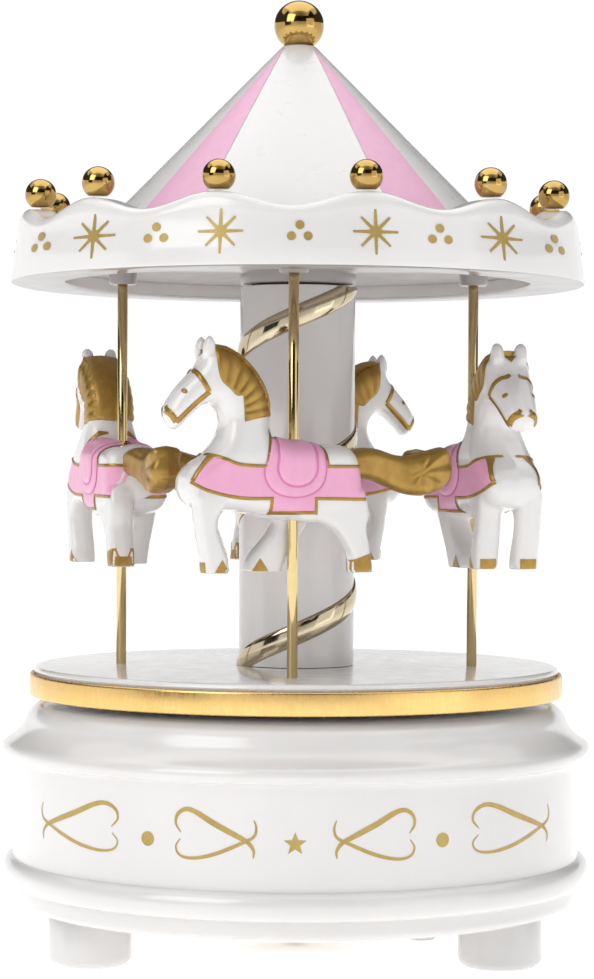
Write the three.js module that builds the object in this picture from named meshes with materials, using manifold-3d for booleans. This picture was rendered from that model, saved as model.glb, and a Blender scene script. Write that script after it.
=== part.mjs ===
// Carousel music box: a wind-up movement in a round base turns four horses under a striped roof.
// Millimetres, +Z up. The part stands on z = 0, the carousel turns about the Z axis, -Y is the front.
import * as THREE from "three";
import { mergeVertices } from "three/addons/utils/BufferGeometryUtils.js";
import Module from "manifold-3d";

const wasm = await Module();
wasm.setup();

const GAP = 0.3; // between neighbours that touch
const TURN = 2 * Math.PI;

// Base, bottom to top
const FEET = { azimuths: [-150, -30, 90], ring: 40.7, radius: 7.2, top: 8.4 };
const BASE = { wall: 50.4, inside: 48.2, bottom: 8.7, top: 43.9, ceiling: 41.5, hole: 5 };
const COVER = { radius: 47.2, bottom: 8.7, top: 11.2, keyHole: 4 };
const COVER_SCREWS = { azimuths: [60, 180, 300], ring: 42, shank: 1, boss: 3 };

// Carousel, bottom to top
const CAROUSEL_TURN = -1.2; // degrees at rest
const PLATFORM = { radius: 46.4, lip: 46.8, bottom: 45.3, top: 50.2 };
const BAND = { radius: 47.5, bottom: 45, top: 49 };
const COLUMN = { radius: 10.2, bore: 8.4, bottom: 50.5, top: 117.7 };
const RIBBON = { inner: 10.5, outer: 10.8, width: 4.2, pitch: 27.9, frontHeight: 56.3 };
const POLES = { count: 4, ring: 31.4, radius: 0.9, bottom: 47.5, top: 120.6 };
const HORSE = { yaw: 21, thick: 11.4, headThick: 8.4, legThick: 4.4, poleHole: 1.2 };
const CANOPY = { bottom: 118, ceiling: 120.5, floorTop: 122.4, lip: 41.5, radius: 51.1 };
const CROWN = { waves: 12, valley: 127.9, peak: 130.4, start: 124.2 };
const ROOF_BALL = { radius: 2.75, ring: 46.4, z: 133, cut: 130.8 };
const ROOF = { bottom: 122.8, bottomRadius: 40.4, top: 160.7, neck: 3, wall: 1.6 };
const FINIAL = { radius: 4.45, z: 164.55, cut: 161 };

// Movement: the cylinder lies along X above the bedplate, its axis at AXIS_HEIGHT
const AXIS_HEIGHT = 31.4;
const BARREL = { radius: 11, inside: 9.8, bottom: 16.5, top: 27, roof: 25.8 };
const TOOTH = { addendum: 0.5, dedendum: 0.85, root: 1.2, tip: 0.6 };
const CROWN_TEETH = 28;
const PINION = { teeth: 10, radius: 3.5, from: 9.2, to: 10.4 };
const DRUM = { radius: 6.5, from: 15, to: 33 };
const END_WHEEL = { teeth: 20, radius: 7, from: 33.6, to: 35 };
const GOVERNOR = { teeth: 8, radius: 2.8, y: 9.8, wormTeeth: 12, wormWheel: 4.2, x: 38.4 };
const WORM_PITCH = (TURN * GOVERNOR.wormWheel) / GOVERNOR.wormTeeth;
const WORM = { y: 15.5, starts: 2, radius: 1.9, core: 0.65, pitch: WORM_PITCH };
const BEDPLATE = { bottom: 13, top: 14.6 };
const BEDPLATE_SCREWS = [[-8, -15], [-8, 14], [30, 8]];
const COMB = { from: 15, to: 33, tips: -7.4, back: -20, z: 31, thick: 0.8, slot: 0.3 };
const COMB_SCREWS = [[18, -17.5], [30, -17.5]];

const rad = THREE.MathUtils.degToRad;
const look = (color, roughness, metalness = 0) =>
  new THREE.MeshStandardMaterial({ color, roughness, metalness, flatShading: true });
const white = () => look(0xeeece8, 0.3);
const pink = () => look(0xecb2d2, 0.4);
const gold = () => look(0xd9a95a, 0.2, 1);
const champagne = () => look(0xe6d2a8, 0.15, 1);
const brass = () => look(0xb8954a, 0.35, 1);
const steel = () => look(0xb9bcc0, 0.35, 1);
const nylon = () => look(0xf2efe6, 0.55);

// ---- solids ----

// A closed solid from any three.js geometry, with its faces turned outwards.
function solid(geometry) {
  const bare = geometry.index ? geometry.toNonIndexed() : geometry.clone();
  bare.deleteAttribute("normal");
  bare.deleteAttribute("uv");
  const merged = mergeVertices(bare, 1e-4);
  const corners = new Uint32Array(merged.index.array);
  const build = () =>
    new wasm.Manifold(
      new wasm.Mesh({
        numProp: 3,
        vertProperties: merged.attributes.position.array,
        triVerts: corners,
      }),
    );
  const made = build();
  if (made.volume() > 0) return made;
  for (let i = 0; i < corners.length; i += 3) corners.subarray(i, i + 2).reverse();
  return build();
}

const join = (...solids) => solids.reduce((all, next) => all.add(next));
const cut = (body, ...tools) => tools.reduce((left, tool) => left.subtract(tool), body);

// A solid of revolution about Z; a profile that leaves the axis closes on itself.
function lathe(profile, segments = 40) {
  const onAxis = profile[0][0] === 0 && profile.at(-1)[0] === 0;
  const points = (onAxis ? profile : [...profile, profile[0]]).map(([r, z]) => new THREE.Vector2(r, z));
  return solid(new THREE.LatheGeometry(points, segments).rotateX(Math.PI / 2));
}

const rod = (radius, from, to, segments = 16) =>
  lathe([[0, from], [radius, from], [radius, to], [0, to]], segments);
const tube = (inner, outer, from, to, segments = 16) =>
  lathe([[inner, from], [outer, from], [outer, to], [inner, to]], segments);

// Points along a circular arc in a profile, angles in degrees from the radial direction.
function arc(radius, z, size, from, to, steps) {
  return Array.from({ length: steps + 1 }, (_, i) => {
    const a = rad(from + ((to - from) * i) / steps);
    return [radius + size * Math.cos(a), z + size * Math.sin(a)];
  });
}

// A box between two corners.
function block(x0, y0, z0, x1, y1, z1) {
  const box = new THREE.BoxGeometry(x1 - x0, y1 - y0, z1 - z0);
  return solid(box.translate((x0 + x1) / 2, (y0 + y1) / 2, (z0 + z1) / 2));
}

// A flat outline raised along Z.
function plate(outline, from, to) {
  const isShape = outline instanceof THREE.Shape;
  const shape = isShape ? outline : new THREE.Shape(outline.map(([x, y]) => new THREE.Vector2(x, y)));
  const settings = { depth: to - from, bevelEnabled: false, curveSegments: 8 };
  const geometry = new THREE.ExtrudeGeometry(shape, settings);
  return solid(geometry.translate(0, 0, from));
}

const moved = (body, x, y, z = 0) => body.translate([x, y, z]);
const turned = (body, degrees) => body.rotate([0, 0, degrees]);
const onRing = (body, ring, azimuth) => turned(moved(body, ring, 0), azimuth);

// A bar of rectangular section wound round the Z axis between two angles, in radians.
function helicalBar({ inner, outer, width, lead, from, to, stepsPerTurn }) {
  const steps = Math.ceil(((to - from) / TURN) * stepsPerTurn);
  const box = new THREE.BoxGeometry(outer - inner, width, 1, 1, 1, steps);
  const p = box.attributes.position;
  for (let i = 0; i < p.count; i++) {
    const radius = (inner + outer) / 2 + p.getX(i);
    const angle = from + (p.getZ(i) + 0.5) * (to - from);
    const height = p.getY(i) + (lead * angle) / TURN;
    p.setXYZ(i, radius * Math.cos(angle), radius * Math.sin(angle), height);
  }
  return solid(box);
}

// A spur gear; its first tooth points at firstTooth, in degrees.
function gear(teeth, radius, from, to, firstTooth = 0) {
  const outline = [];
  for (let i = 0; i < teeth; i++) {
    const middle = rad(firstTooth) + (i * TURN) / teeth;
    for (const [r, half] of [
      [radius - TOOTH.dedendum, -TOOTH.root / 2],
      [radius + TOOTH.addendum, -TOOTH.tip / 2],
      [radius + TOOTH.addendum, TOOTH.tip / 2],
      [radius - TOOTH.dedendum, TOOTH.root / 2],
    ]) {
      const a = middle + half / r;
      outline.push([r * Math.cos(a), r * Math.sin(a)]);
    }
  }
  return plate(outline, from, to);
}

// ---- scene graph ----

const group = new THREE.Group();
const carousel = new THREE.Group();
carousel.rotation.z = rad(CAROUSEL_TURN);
group.add(carousel);

function add(parent, name, body, material, x = 0, y = 0, turn = 0) {
  const data = body.getMesh();
  const geometry = new THREE.BufferGeometry();
  geometry.setAttribute("position", new THREE.BufferAttribute(data.vertProperties, 3));
  geometry.setIndex(new THREE.BufferAttribute(data.triVerts, 1));
  geometry.computeVertexNormals();
  const mesh = new THREE.Mesh(geometry, material);
  mesh.name = name;
  mesh.position.set(x, y, 0);
  mesh.rotation.z = rad(turn);
  parent.add(mesh);
}

function addRing(parent, name, body, material, ring, azimuths) {
  azimuths.forEach((azimuth, i) => {
    const a = rad(azimuth);
    add(parent, `${name}_${i + 1}`, body, material(), ring * Math.cos(a), ring * Math.sin(a), azimuth);
  });
}

const everyAngle = (count, first) =>
  Array.from({ length: count }, (_, i) => first + (i * 360) / count);

// ---- base ----

function baseShell() {
  const { wall, inside, bottom, top, ceiling, hole } = BASE;
  const bead = arc(0, 0, 1, -90, 90, 4).map(([c, s]) => [wall + 1.95 * c, 14.5 + 2.4 * s]);
  const shell = lathe([
    [48.6, bottom], [wall, 10.3], ...bead, [wall, 33.6],
    [51.7, 34.3], [52.5, 35.8], [50.9, 37.4], [49.1, 39.4], // moulding
    [47.6, 42], [44.8, top], // shoulder
    [hole, top], [hole, ceiling], [44.2, ceiling], [47.3, 38.4],
    [inside, 33.6], [inside, 12], [47.6, 11.4], [47.6, bottom],
  ]);
  const bosses = COVER_SCREWS.azimuths.map((azimuth) =>
    onRing(rod(COVER_SCREWS.boss, 11.5, 42, 12), COVER_SCREWS.ring, azimuth));
  const holes = COVER_SCREWS.azimuths.map((azimuth) =>
    onRing(rod(COVER_SCREWS.shank + 0.35, 11, 22, 12), COVER_SCREWS.ring, azimuth));
  return cut(join(shell, ...bosses), ...holes);
}

function foot() {
  const { radius, top } = FEET;
  const edge = 1.8;
  return lathe([[0, 0], ...arc(radius - edge, edge, edge, -90, 0, 3), [radius, top], [0, top]], 24);
}

function bottomCover() {
  const { radius, bottom, top, keyHole } = COVER;
  const bossTop = BEDPLATE.bottom - GAP;
  const bosses = BEDPLATE_SCREWS.map(([x, y]) => moved(rod(3.2, bottom, bossTop, 12), x, y));
  const bossHoles = BEDPLATE_SCREWS.map(([x, y]) => moved(rod(1.4, top - 1.8, bossTop + 1, 12), x, y));
  const screwHoles = COVER_SCREWS.azimuths.map((azimuth) =>
    onRing(rod(1.5, bottom - 1, top + 1, 12), COVER_SCREWS.ring, azimuth));
  const disc = tube(keyHole, radius, bottom, top, 40);
  return cut(join(disc, ...bosses), ...bossHoles, ...screwHoles);
}

// A cheese-head screw with a slot, its head at the top when up is 1 and at the bottom when -1.
function screw(seat, headRadius, headHeight, shankRadius, length, up) {
  const [low, high] = [seat, seat + up * headHeight].sort((a, b) => a - b);
  const [end, start] = [seat - up * length, seat].sort((a, b) => a - b);
  const face = seat + up * headHeight;
  const slot = block(-headRadius - 1, -0.3, face - 0.5, headRadius + 1, 0.3, face + 0.5);
  const head = cut(rod(headRadius, low, high, 12), slot);
  return join(head, rod(shankRadius, end, start, 12));
}

function turntableBush() {
  return lathe([[2.3, 41], [4.7, 41], [4.7, 44.2], [7, 44.2], [7, 44.8], [2.3, 44.8]], 24);
}

function addBase() {
  add(group, "base_shell", baseShell(), white());
  addRing(group, "foot", foot(), white, FEET.ring, FEET.azimuths);
  add(group, "bottom_cover", bottomCover(), white());
  const coverScrew = screw(FEET.top, 2.4, 1.1, COVER_SCREWS.shank, 11, -1);
  addRing(group, "cover_screw", coverScrew, steel, COVER_SCREWS.ring, COVER_SCREWS.azimuths);
  add(group, "turntable_bush", turntableBush(), nylon());
}

// ---- winding key ----

function windingKey() {
  const wings = new THREE.Shape();
  wings.absellipse(0, 0, 11, 3.2, 0, TURN);
  for (const side of [-1, 1]) {
    const eye = new THREE.Path();
    eye.absellipse(side * 6.8, 0, 2.4, 1.6, 0, TURN);
    wings.holes.push(eye);
  }
  const flat = plate(wings, -0.9, 0.9).rotate([90, 0, 0]).translate([0, 0, 4.3]);
  return cut(join(flat, rod(3.2, 1, 7.6)), rod(1.9, 3, 9));
}

function addWinder() {
  add(group, "winding_key", windingKey(), brass());
  add(group, "winding_arbor", rod(1.6, 3 + GAP, 24.5), steel());
}

// ---- movement: fixed pieces ----

function bedplate() {
  const { bottom, top } = BEDPLATE;
  const outline = [[-12, -21], [35, -21], [42.6, -8], [42.6, 19], [-12, 19]];
  const seat = block(COMB.from, -20.5, top - 1, COMB.to, -15, COMB.z - GAP);
  const screwHoles = BEDPLATE_SCREWS.map(([x, y]) => moved(rod(1.4, bottom - 1, top + 1, 12), x, y));
  const combHoles = COMB_SCREWS.map(([x, y]) => moved(rod(1.4, 25, COMB.z + 1, 12), x, y));
  const arborHole = rod(3, bottom - 1, top + 1);
  return cut(join(plate(outline, bottom, top), seat), arborHole, ...screwHoles, ...combHoles);
}

function comb() {
  const { from, to, tips, back, z, thick, slot } = COMB;
  const slots = Array.from({ length: to - from - 1 }, (_, i) => {
    const x = from + 1 + i;
    return block(x - slot / 2, -14.5, z - 1, x + slot / 2, tips + 1, z + thick + 1);
  });
  const holes = COMB_SCREWS.map(([x, y]) => moved(rod(1.4, z - 1, z + thick + 1, 12), x, y));
  return cut(block(from, back, z, to, tips, z + thick), ...slots, ...holes);
}

// A hole along X through the movement's brackets.
const crossHole = (radius, x0, x1, y, z) =>
  moved(rod(radius, 0, x1 - x0 + 2, 12).rotate([0, 90, 0]), x0 - 1, y, z);

function innerBracket() {
  const plateBody = block(12, -4, BEDPLATE.top + GAP, 13.4, 4, 35);
  return cut(plateBody, crossHole(1.5, 12, 13.4, 0, AXIS_HEIGHT));
}

function outerBracket() {
  const plateBody = block(36, -4, BEDPLATE.top + GAP, 37, 13, 35);
  const cylinderHole = crossHole(1.5, 36, 37, 0, AXIS_HEIGHT);
  return cut(plateBody, cylinderHole, crossHole(1.1, 36, 37, GOVERNOR.y, AXIS_HEIGHT));
}

function governorFrame() {
  const [low, high] = [24.6, 39.5];
  const back = block(41, 8, BEDPLATE.top + GAP, 42, 17, high);
  const arms = [[low, low + 1], [high - 1, high]].map(([z0, z1]) =>
    cut(block(36.4, 13.5, z0, 41.5, 17, z1), moved(rod(0.75, z0 - 1, z1 + 1, 8), GOVERNOR.x, WORM.y)));
  return cut(join(back, ...arms), crossHole(1.1, 41, 42, GOVERNOR.y, AXIS_HEIGHT));
}

function addMovementFrame() {
  const seat = BEDPLATE.top + GAP;
  add(group, "bedplate", bedplate(), steel());
  BEDPLATE_SCREWS.forEach(([x, y], i) =>
    add(group, `bedplate_screw_${i + 1}`, screw(seat, 2.2, 1.2, 1, 4, 1), steel(), x, y));
  add(group, "comb", comb(), steel());
  COMB_SCREWS.forEach(([x, y], i) =>
    add(group, `comb_screw_${i + 1}`, screw(COMB.z + COMB.thick + GAP, 2, 1.1, 1, 6, 1), steel(), x, y));
  add(group, "cylinder_bracket_inner", innerBracket(), brass());
  add(group, "cylinder_bracket_outer", outerBracket(), brass());
  add(group, "governor_frame", governorFrame(), brass());
}

// ---- movement: turning pieces ----

// The barrel opens downwards; the crown gear on its roof has a gap at azimuth 0 at rest.
function springBarrel() {
  const { radius, inside, bottom, top, roof } = BARREL;
  const wall = [[0, roof], [inside, roof], [inside, bottom], [radius, bottom], [radius, top], [0, top]];
  const drum = lathe(wall, 32);
  const tipZ = AXIS_HEIGHT - PINION.radius + TOOTH.addendum;
  const [wide, narrow] = [TOOTH.root / 2, TOOTH.tip / 2];
  const profile = [[-wide, top - 0.2], [wide, top - 0.2], [narrow, tipZ], [-narrow, tipZ]];
  const tooth = plate(profile, 8.6, 10.9).rotate([90, 0, 90]);
  const pitch = 360 / CROWN_TEETH;
  return join(drum, ...everyAngle(CROWN_TEETH, pitch / 2).map((azimuth) => turned(tooth, azimuth)));
}

// A flat spiral strip, seen from above.
function mainspring() {
  const [inner, outer, turns, thick] = [2.4, 9.1, 4, 0.4];
  const steps = turns * 16;
  const edge = (offset) => Array.from({ length: steps + 1 }, (_, i) => {
    const r = inner + offset + ((outer - inner) * i) / steps;
    const a = (i / 16) * TURN;
    return [r * Math.cos(a), r * Math.sin(a)];
  });
  return plate([...edge(0), ...edge(thick).reverse()], 17.5, 24.8);
}

// The pieces along X are built along their own Z, with 0 degrees towards +Y and 90 degrees up.
const across = new THREE.Group();
across.position.z = AXIS_HEIGHT;
across.setRotationFromMatrix(new THREE.Matrix4().makeBasis(
  new THREE.Vector3(0, 1, 0), new THREE.Vector3(0, 0, 1), new THREE.Vector3(1, 0, 0),
));
group.add(across);

function musicCylinder() {
  const { radius, from, to } = DRUM;
  const notes = COMB.to - COMB.from;
  const pins = Array.from({ length: notes }, (_, i) => {
    const pin = block(radius - 0.5, -0.2, from + i + 0.3, radius + 0.5, 0.2, from + i + 0.7);
    return turned(pin, 20 + i * 47);
  });
  return join(
    rod(1.2, 8.4, 37.2, 12),
    rod(radius, from, to, 24),
    gear(PINION.teeth, PINION.radius, PINION.from, PINION.to, -90),
    gear(END_WHEEL.teeth, END_WHEEL.radius, END_WHEEL.from, END_WHEEL.to),
    ...pins,
  );
}

function governorWheel() {
  const { teeth, radius, wormTeeth, wormWheel, x } = GOVERNOR;
  return join(
    rod(0.8, 32.6, 41.7, 12),
    gear(teeth, radius, END_WHEEL.from, END_WHEEL.to, 180 / teeth),
    gear(wormTeeth, wormWheel, x - 0.4, x + 0.4),
  );
}

// A two-start worm with four vanes above it; a gap of the worm faces the wheel's tooth at rest.
function governorFan() {
  const [bottom, top] = [26.4, 35];
  const lead = WORM.starts * WORM.pitch;
  const threads = everyAngle(WORM.starts, 0).map((start) => {
    const middle = AXIS_HEIGHT + WORM.pitch / 2;
    const half = TURN * 0.9;
    const bar = { inner: 0.4, outer: WORM.radius, width: 0.5, lead, from: -half, to: half, stepsPerTurn: 10 };
    return moved(turned(helicalBar(bar), start - 90), 0, 0, middle);
  });
  const vanes = [0, 90].map((azimuth) => turned(block(-2.3, -0.25, top + 0.4, 2.3, 0.25, 38), azimuth));
  const core = join(rod(WORM.core, bottom, 38.1, 8), rod(0.4, 24.9, 39.3, 8), rod(2, top, top + 0.8, 12));
  return join(core, ...threads.map((thread) => thread.intersect(rod(3, bottom, top, 8))), ...vanes);
}

function addMovement() {
  add(group, "spring_barrel", springBarrel(), brass());
  add(group, "mainspring", mainspring(), steel());
  add(group, "drive_shaft", rod(2, BARREL.top + GAP, 47), steel());
  add(across, "music_cylinder", musicCylinder(), brass());
  add(across, "governor_wheel", governorWheel(), brass(), GOVERNOR.y);
  add(group, "governor_fan", governorFan(), nylon(), GOVERNOR.x, WORM.y);
}

// ---- turntable, column and poles ----

function turntable() {
  const { radius, lip, bottom, top } = PLATFORM;
  const disc = lathe([
    [0, bottom], [radius, bottom], [radius, BAND.top + GAP], [lip, BAND.top + GAP],
    [lip, top - 0.6], [lip - 0.4, top - 0.2], [lip - 0.9, top], [0, top],
  ]);
  const poleHoles = everyAngle(POLES.count, -90).map((azimuth) =>
    onRing(rod(POLES.radius + GAP, POLES.bottom - GAP, top + 1, 12), POLES.ring, azimuth));
  return cut(disc, rod(2.3, bottom - 1, 47.4), ...poleHoles);
}

function columnRibbon() {
  const { inner, outer, width, pitch, frontHeight } = RIBBON;
  const [low, high] = [COLUMN.bottom + 0.1, COLUMN.top - 0.1];
  const angleAt = (z) => (TURN * (z - frontHeight)) / pitch;
  const bar = helicalBar({
    inner, outer, width, lead: pitch,
    from: angleAt(low - width), to: angleAt(high + width), stepsPerTurn: 24,
  });
  return turned(moved(bar, 0, 0, frontHeight), -90).intersect(rod(outer + 1, low, high));
}

function addColumn() {
  const { radius, bore, bottom, top } = COLUMN;
  add(carousel, "turntable", turntable(), white());
  add(carousel, "rim_band", tube(PLATFORM.radius + GAP, BAND.radius, BAND.bottom, BAND.top, 40), gold());
  add(carousel, "column", tube(bore, radius, bottom, top, 40), white());
  add(carousel, "column_ribbon", columnRibbon(), champagne(), 0, 0, -CAROUSEL_TURN);
  add(carousel, "tie_rod", rod(1.5, bottom, POLES.top), steel());
  const pole = rod(POLES.radius, POLES.bottom, POLES.top, 12);
  addRing(carousel, "pole", pole, gold, POLES.ring, everyAngle(POLES.count, -90));
}

// ---- horses: outlines in the plane of travel, forwards and up from the pole ----

const HORSE_BODY = [
  [-10.4, 83], [-10.6, 87.5], [-9.3, 89.1], [4.2, 89.8], [5, 91.8], [5.1, 94.8], [6, 98.1], [8, 101.4],
  [10.8, 104.1], [14.3, 105.5], [15.3, 106.8], [16.3, 107.1], [17.2, 102.2], [19.3, 100.3], [21.2, 98],
  [22.3, 95], [21.9, 93.4], [20.5, 91.8], [16.3, 95.6], [13.6, 94.9], [12.6, 93], [12.8, 90.4], [15.6, 87.4],
  [17.9, 85.5], [19.3, 82.4], [18.7, 80.5], [17, 78.4], [10.8, 77.6], [5.1, 77.2], [-9, 76.7], [-10.4, 80],
];
const HORSE_BARREL = [
  [-10.2, 83], [-10.4, 87.3], [-9.2, 88.9], [4.2, 89.6], [13.2, 89.6], [15.4, 87.3], [17.7, 85.4], [19.1, 82.4],
  [18.5, 80.6], [16.9, 78.6], [10.7, 77.8], [5, 77.4], [-8.9, 76.9], [-10.2, 80],
];
const FRONT_LEG = [[18.9, 81], [18.5, 76], [17.4, 67.9], [12.4, 67.9], [12.9, 71], [14.5, 75], [13, 81]];
const HIND_LEG = [
  [1, 81], [0, 76.7], [-4.9, 75.8], [-7.8, 72.7], [-8.6, 67.9], [-13.1, 67.9], [-12.3, 75], [-10.3, 82],
];
const FAR_HIND_LEG = [[1, 81], [1.3, 75.8], [5, 71.5], [6.8, 67.9], [0.5, 67.9], [-2, 73], [-8, 81]];
const TAIL = [
  [-9.8, 83.6], [-10.2, 87.8], [-14, 88.1], [-19, 87.6], [-24, 88.6], [-28.5, 89], [-27.6, 86], [-27.2, 83.6],
  [-24.5, 81.5], [-19.5, 82.4], [-14.5, 83.8],
];

function horse() {
  const { thick, headThick, legThick, poleHole } = HORSE;
  const half = thick / 2;
  const upright = join(
    plate(HORSE_BODY, -headThick / 2, headThick / 2),
    plate(HORSE_BARREL, -half, half),
    plate(TAIL, -2, 2),
    ...[FRONT_LEG, HIND_LEG].map((leg) => plate(leg, -half, legThick - half)),
    ...[FRONT_LEG, FAR_HIND_LEG].map((leg) => plate(leg, half - legThick, half)),
  ).rotate([90, 0, 0]);
  return cut(upright, rod(poleHole, 60, 100, 12));
}

function addHorses() {
  const body = horse();
  everyAngle(POLES.count, -90).forEach((azimuth, i) => {
    const a = rad(azimuth);
    const [x, y] = [POLES.ring * Math.cos(a), POLES.ring * Math.sin(a)];
    add(carousel, `horse_${i + 1}`, body, white(), x, y, azimuth - 90 + HORSE.yaw);
  });
}

// ---- canopy and roof ----

// The rim's upper part is stretched into waves, highest under each ball.
function canopyRim() {
  const { bottom, lip, radius } = CANOPY;
  const { waves, valley, peak, start } = CROWN;
  const profile = [
    [lip, bottom], [radius, bottom], [50.3, start], [50.05, 126.6], [49.3, 127.6], [47.9, valley],
    [45, valley], [43.6, 127.4], [43, 126.2], [43, start], [lip, 122.7],
  ];
  const points = [...profile, profile[0]].map(([r, z]) => new THREE.Vector2(r, z));
  const geometry = new THREE.LatheGeometry(points, 48).rotateX(Math.PI / 2);
  const p = geometry.attributes.position;
  for (let i = 0; i < p.count; i++) {
    const [x, y, z] = [p.getX(i), p.getY(i), p.getZ(i)];
    const height = Math.max(0, (z - start) / (valley - start));
    const wave = (1 - Math.cos(waves * Math.atan2(y, x))) / 2;
    p.setZ(i, z + (peak - valley) * height * wave);
  }
  return solid(geometry);
}

function canopyFloor() {
  const { bottom, ceiling, floorTop, lip } = CANOPY;
  const disc = lathe([
    [0, bottom], [10.3, bottom], [10.3, ceiling], [lip - GAP, ceiling], [lip - GAP, floorTop], [0, floorTop],
  ]);
  const azimuths = everyAngle(POLES.count, -90);
  const sockets = azimuths.map((azimuth) => onRing(rod(2.5, bottom, ceiling + 0.5), POLES.ring, azimuth));
  const holes = azimuths.map((azimuth) =>
    onRing(rod(POLES.radius + GAP, bottom - 1, POLES.top + GAP, 12), POLES.ring, azimuth));
  return cut(join(disc, ...sockets), ...holes, rod(1.8, bottom - 1, POLES.top + GAP));
}

function roofCone() {
  const { bottom, bottomRadius, top, neck, wall } = ROOF;
  return lathe([
    [0, top - 3.2], [bottomRadius - wall, bottom], [bottomRadius, bottom], [neck, top], [0, top],
  ]);
}

// A ball with a flat cut below, on the Z axis.
function seatedBall({ radius, z, cut: flat }, segments, steps) {
  const start = THREE.MathUtils.radToDeg(Math.asin((flat - z) / radius));
  const curve = arc(0, z, radius, start, 90, steps);
  curve[steps][0] = 0;
  return lathe([[0, flat], ...curve], segments);
}

function addCanopy() {
  add(carousel, "canopy_rim", canopyRim(), white());
  add(carousel, "canopy_floor", canopyFloor(), white());
  add(carousel, "roof_cone", roofCone(), pink());
  const ballAzimuths = everyAngle(CROWN.waves, 180 / CROWN.waves);
  addRing(carousel, "roof_ball", seatedBall(ROOF_BALL, 12, 5), gold, ROOF_BALL.ring, ballAzimuths);
  add(carousel, "finial_ball", seatedBall(FINIAL, 16, 6), gold());
}

addBase();
addWinder();
addMovementFrame();
addMovement();
addColumn();
addHorses();
addCanopy();

export default group;
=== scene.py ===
"""Carousel music box: the looks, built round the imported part. Metres, +Z up, -Y is the front."""

import math

import bmesh
import bpy
import numpy as np
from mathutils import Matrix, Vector
from mathutils.bvhtree import BVHTree
from mathutils.geometry import delaunay_2d_cdt


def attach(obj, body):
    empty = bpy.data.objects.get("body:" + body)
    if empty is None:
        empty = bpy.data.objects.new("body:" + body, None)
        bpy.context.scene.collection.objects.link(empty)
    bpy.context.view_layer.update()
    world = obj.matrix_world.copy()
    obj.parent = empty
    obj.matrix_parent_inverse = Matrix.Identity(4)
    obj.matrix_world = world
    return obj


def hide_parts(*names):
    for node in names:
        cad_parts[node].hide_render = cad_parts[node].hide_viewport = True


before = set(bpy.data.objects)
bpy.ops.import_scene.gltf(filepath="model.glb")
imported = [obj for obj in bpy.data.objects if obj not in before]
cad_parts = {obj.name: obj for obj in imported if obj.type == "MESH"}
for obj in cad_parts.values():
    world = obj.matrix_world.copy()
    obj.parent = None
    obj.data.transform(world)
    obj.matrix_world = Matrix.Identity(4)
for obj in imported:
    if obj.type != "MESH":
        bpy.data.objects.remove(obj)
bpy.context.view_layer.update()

MM = 0.001
TAU = 2 * math.pi
CAROUSEL_TURN = math.radians(-1.2)  # where the carousel stands at rest

# ---------------------------------------------------------------- sizes, in millimetres

WALL = 50.4  # radius of the base's wall
WALL_MIDDLE = 25.1  # height of the printed pattern on it
PLATFORM_TOP = 50.2
COLUMN = 10.3
RIBBON_PITCH = 27.9
RIBBON_FRONT = 56.3  # height at which the ribbon crosses the front
POLE_RING = 31.4
POLE = 0.9
CEILING = 120.5
RIM_BOTTOM = 118.0
CROWN_START = 124.2
CROWN_VALLEY = 127.9
CROWN_PEAK = 130.4
BALLS = 12
BALL_RING = 46.4
HORSES = 4
HORSE_YAW = math.radians(21)


# ---------------------------------------------------------------- materials


class Shader:
    """A node material whose parts are joined by name."""

    def __init__(self, name):
        self.material = bpy.data.materials.new(name)
        self.material.use_nodes = True
        self.nodes = self.material.node_tree.nodes
        self.links = self.material.node_tree.links
        self.surface = self.nodes["Principled BSDF"]
        coordinates = self.add("ShaderNodeTexCoord")
        self.place = coordinates.outputs["Object"]

    def add(self, kind, **settings):
        node = self.nodes.new(kind)
        for key, value in settings.items():
            setattr(node, key, value)
        return node

    def put(self, socket, value):
        if isinstance(value, bpy.types.NodeSocket):
            self.links.new(value, socket)
        else:
            socket.default_value = value

    def noise(self, scale, detail=3.0, roughness=0.5, stretch=(1, 1, 1)):
        """A noise of the given number of features per metre."""
        spread = self.add("ShaderNodeMapping")
        self.put(spread.inputs["Vector"], self.place)
        self.put(spread.inputs["Scale"], stretch)
        node = self.add("ShaderNodeTexNoise")
        self.put(node.inputs["Vector"], spread.outputs["Vector"])
        self.put(node.inputs["Scale"], scale)
        self.put(node.inputs["Detail"], detail)
        self.put(node.inputs["Roughness"], roughness)
        return node.outputs["Fac"]

    def remap(self, value, low, high, start=0.3, end=0.7):
        node = self.add("ShaderNodeMapRange")
        self.put(node.inputs["Value"], value)
        for name, number in (("From Min", start), ("From Max", end), ("To Min", low), ("To Max", high)):
            self.put(node.inputs[name], number)
        return node.outputs["Result"]

    def mix(self, factor, a, b):
        node = self.add("ShaderNodeMix", data_type="RGBA")
        self.put(node.inputs["Factor"], factor)
        self.put(node.inputs["A"], (*a, 1) if isinstance(a, tuple) and len(a) == 3 else a)
        self.put(node.inputs["B"], (*b, 1) if isinstance(b, tuple) and len(b) == 3 else b)
        return node.outputs["Result"]

    def bump(self, height, strength, distance):
        node = self.add("ShaderNodeBump")
        self.put(node.inputs["Strength"], strength)
        self.put(node.inputs["Distance"], distance)
        self.put(node.inputs["Height"], height)
        self.put(self.surface.inputs["Normal"], node.outputs["Normal"])

    def surface_values(self, **values):
        for name, value in values.items():
            self.put(self.surface.inputs[name.replace("_", " ")], value)


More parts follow.
